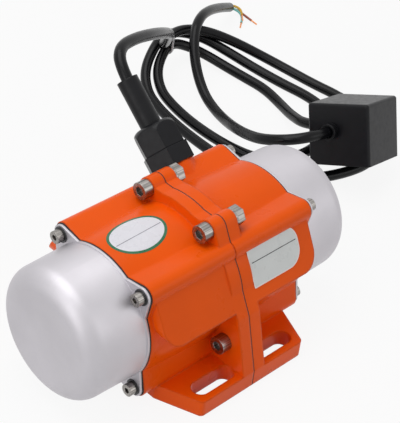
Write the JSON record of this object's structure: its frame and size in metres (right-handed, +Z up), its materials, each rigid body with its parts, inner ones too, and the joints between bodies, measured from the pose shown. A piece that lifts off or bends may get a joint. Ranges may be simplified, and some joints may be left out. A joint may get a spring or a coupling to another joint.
{
  "type": "vibration motor",
  "caption": "Foot-mounted vibration motor: two cast housing halves bolted at a central flange, domed end caps over eccentric weights, cable gland, coiled cord and capacitor box.",
  "frame": {"origin": "centre of the foot-slot pattern, on the underside of the feet", "axes": "+X along the shaft, -Y to the side of the nameplate panel, +Y to the side of the cable gland, +Z up"},
  "size_m": [0.3688, 0.2875, 0.1222],
  "materials": {
    "orange_paint": "satin paint over a slightly rough casting",
    "silver_paint": "fine silver metallic paint on drawn sheet",
    "gasket_paper": "dark sealing gasket",
    "steel_fastener": "zinc-plated steel",
    "dark_steel": "blackened spring steel",
    "lamination_steel": "stacked electrical sheet",
    "enamelled_copper": "varnished copper wire",
    "cast_aluminium": "as cast",
    "bearing_steel": "ground steel",
    "weight_steel": "plain steel plate",
    "black_plastic": "satin black moulding",
    "white_strap": "thin white plastic strap",
    "black_rubber": "matt black rubber",
    "cord_jacket": "smooth black flexible jacket",
    "potting_resin": "cast black resin",
    "core_yellow_green": "yellow and green core insulation",
    "core_blue": "blue core insulation",
    "core_brown": "brown core insulation",
    "bare_copper": "bare stranded copper"
  },
  "bodies": {
    "motor_body": {"left_housing": "orange_paint", "right_housing": "orange_paint", "housing_gasket": "gasket_paper", "left_end_cap": "silver_paint", "left_cap_gasket": "gasket_paper", "left_cap_screws": "steel_fastener", "left_cap_washers": "dark_steel", "left_outer_ring": "bearing_steel", "right_end_cap": "silver_paint", "right_cap_gasket": "gasket_paper", "right_cap_screws": "steel_fastener", "right_cap_washers": "dark_steel", "right_outer_ring": "bearing_steel", "flange_bolts": "steel_fastener", "flange_washers": "steel_fastener", "flange_nuts": "steel_fastener", "stator_core": "lamination_steel", "stator_winding": "enamelled_copper", "gland_body": "black_plastic", "gland_seal": "black_rubber", "gland_nut": "black_plastic", "cable_sleeve": "black_rubber", "cord_stub": "cord_jacket", "motor_cord": "cord_jacket", "cord_tie": "white_strap", "capacitor_box": "black_plastic", "potting_resin": "potting_resin", "supply_grommet": "black_rubber", "motor_grommet": "black_rubber", "supply_cord": "cord_jacket", "core_yellow_green": "core_yellow_green", "core_blue": "core_blue", "core_brown": "core_brown", "copper_ends": "bare_copper"},
    "rotor": {"rotor_core": "lamination_steel", "squirrel_cage": "cast_aluminium", "shaft": "bearing_steel", "left_inner_ring": "bearing_steel", "left_spacer": "bearing_steel", "left_fixed_weight": "weight_steel", "left_fixed_weight_screw": "dark_steel", "left_circlip": "dark_steel", "right_inner_ring": "bearing_steel", "right_spacer": "bearing_steel", "right_fixed_weight": "weight_steel", "right_fixed_weight_screw": "dark_steel", "right_circlip": "dark_steel"},
    "left_adjustable": {"left_adjustable_weight": "weight_steel", "left_adjustable_weight_screw": "dark_steel"},
    "left_ball_set": {"left_balls": "bearing_steel", "left_ball_cage": "dark_steel"},
    "right_adjustable": {"right_adjustable_weight": "weight_steel", "right_adjustable_weight_screw": "dark_steel"},
    "right_ball_set": {"right_balls": "bearing_steel", "right_ball_cage": "dark_steel"}
  },
  "joints": [
    {"name": "rotor_spin", "type": "hinge", "parent": "motor_body", "child": "rotor", "pos_m": [0, 0, 0.043], "axis": [1, 0, 0], "continuous": true},
    {"name": "left_weight_setting", "type": "hinge", "parent": "rotor", "child": "left_adjustable", "pos_m": [-0.0725, 0, 0.043], "axis": [1, 0, 0], "range_deg": [0, 180]},
    {"name": "right_weight_setting", "type": "hinge", "parent": "rotor", "child": "right_adjustable", "pos_m": [0.0725, 0, 0.043], "axis": [1, 0, 0], "range_deg": [0, 180]},
    {"name": "left_ball_roll", "type": "hinge", "parent": "motor_body", "child": "left_ball_set", "pos_m": [-0.043, 0, 0.043], "axis": [1, 0, 0], "continuous": true},
    {"name": "right_ball_roll", "type": "hinge", "parent": "motor_body", "child": "right_ball_set", "pos_m": [0.043, 0, 0.043], "axis": [1, 0, 0], "continuous": true}
  ],
  "couplings": [
    {"joint": "left_ball_roll", "follows": "rotor_spin", "ratio": 0.3682},
    {"joint": "right_ball_roll", "follows": "rotor_spin", "ratio": 0.3682}
  ]
}
